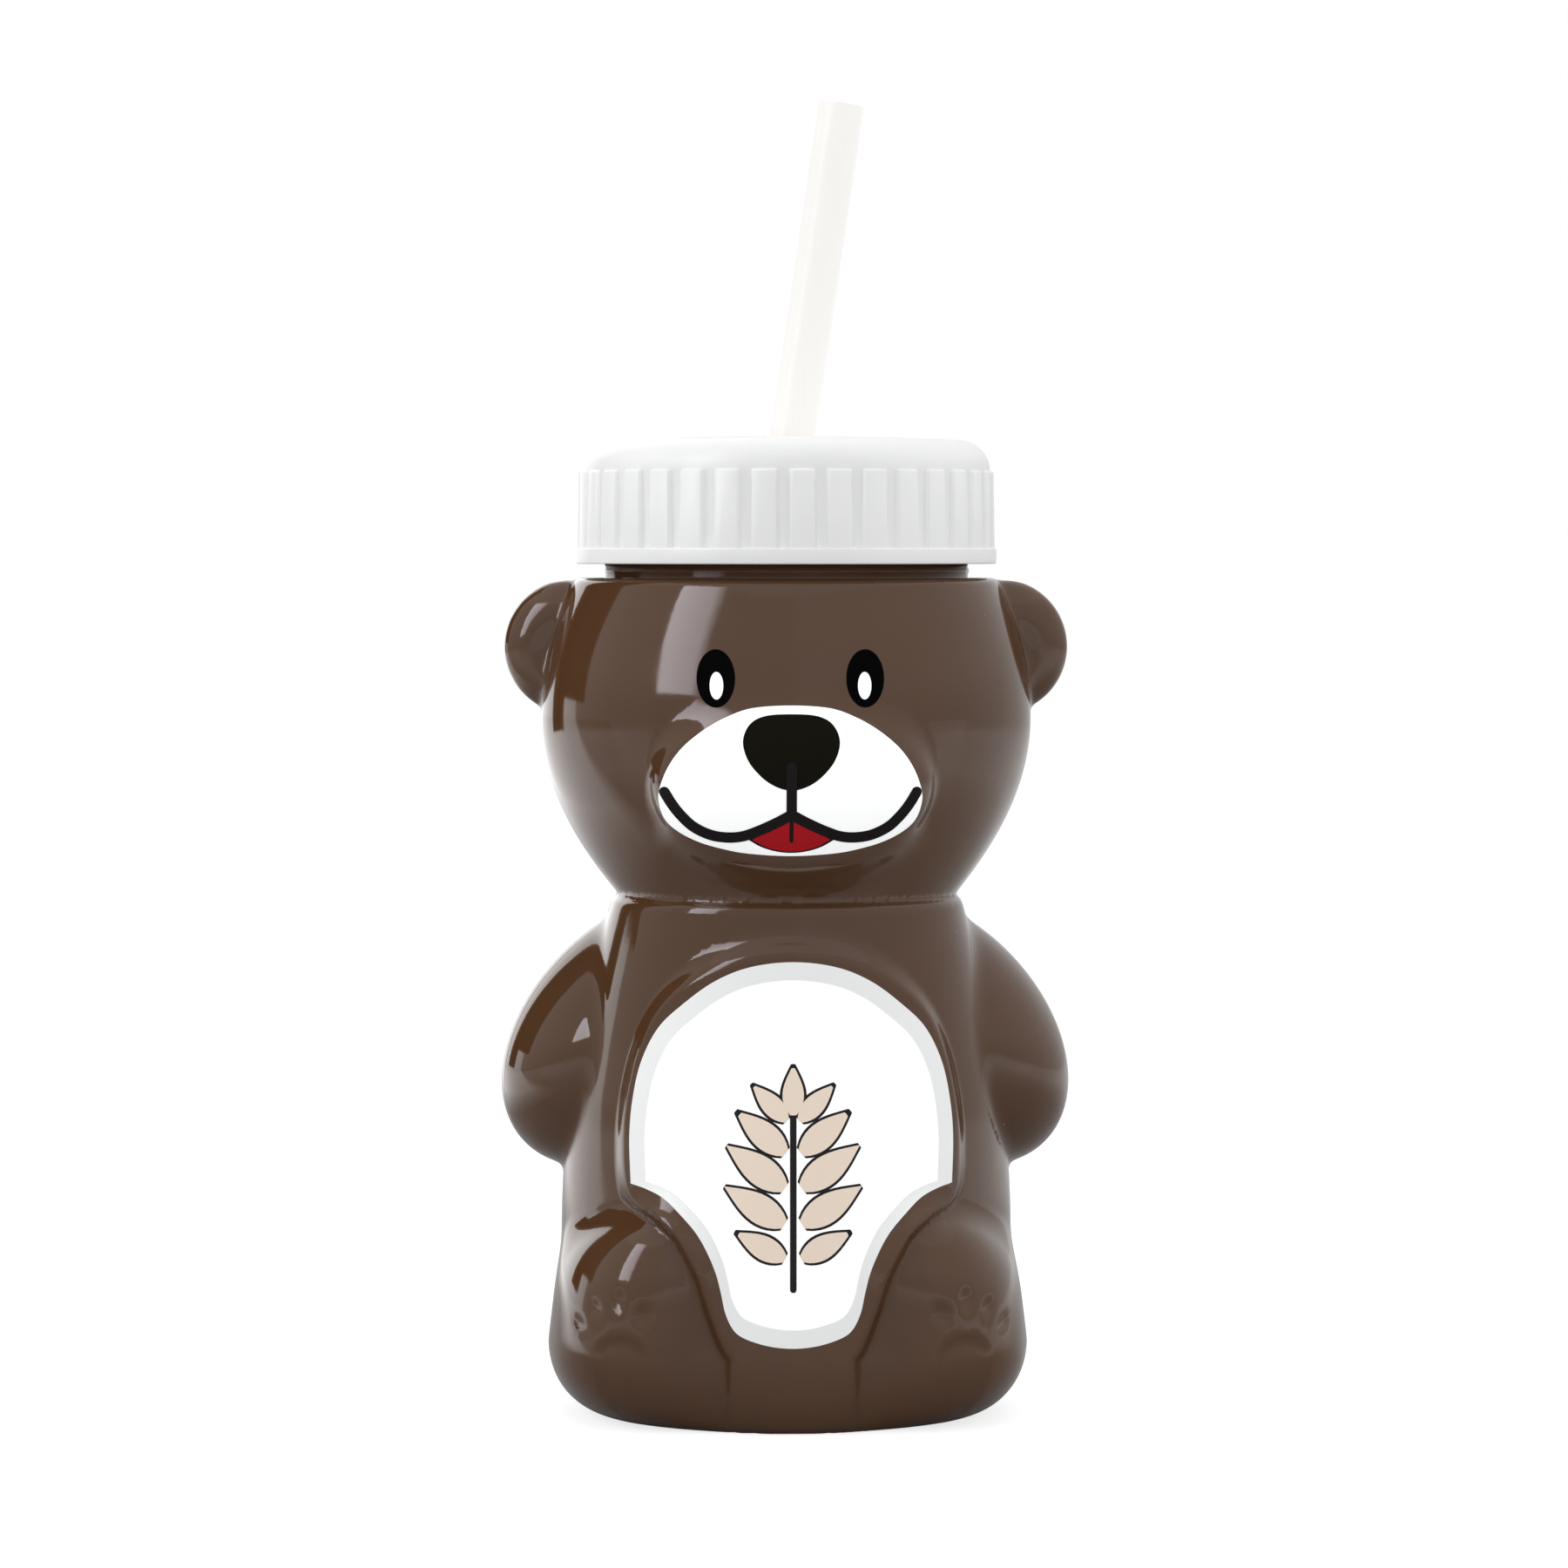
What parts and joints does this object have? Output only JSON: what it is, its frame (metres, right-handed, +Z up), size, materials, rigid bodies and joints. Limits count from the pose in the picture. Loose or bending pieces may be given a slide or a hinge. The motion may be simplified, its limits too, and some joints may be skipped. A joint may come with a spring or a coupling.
{
  "type": "straw bottle",
  "caption": "Bear-shaped drinking bottle with a screw cap and a straight straw that leans in the cap's hole.",
  "frame": {"origin": "on the bottle's axis, on the plane that it stands on", "axes": "+Z up along the bottle's axis, -Y towards the bear's face, +X to the side that the straw leans to"},
  "size_m": [0.091, 0.0787, 0.2049],
  "materials": {
    "body_plastic": "glossy blow-moulded brown plastic",
    "cap_plastic": "satin injection-moulded white polypropylene",
    "seal_foam": "soft white sealing foam",
    "straw_plastic": "extruded white plastic, slightly see-through"
  },
  "bodies": {
    "bottle": {"bottle_body": "body_plastic"},
    "lift": {"cap_seal": "seal_foam"},
    "cap": {"screw_cap": "cap_plastic"},
    "straw": {"straw": "straw_plastic"}
  },
  "joints": [
    {"name": "cap_rise", "type": "slide", "parent": "bottle", "child": "lift", "axis": [0, 0, 1], "range_m": [0, 0.0168]},
    {"name": "cap_turn", "type": "hinge", "parent": "lift", "child": "cap", "pos_m": [0, 0, 0.14], "axis": [0, 0, 1], "range_deg": [0, 1440]},
    {"name": "straw_slide", "type": "slide", "parent": "cap", "child": "straw", "axis": [0.1452, 0, 0.9894], "range_m": [0, 0.16]}
  ],
  "couplings": [
    {"joint": "cap_rise", "follows": "cap_turn", "m_per_rad": 0.00066845}
  ]
}
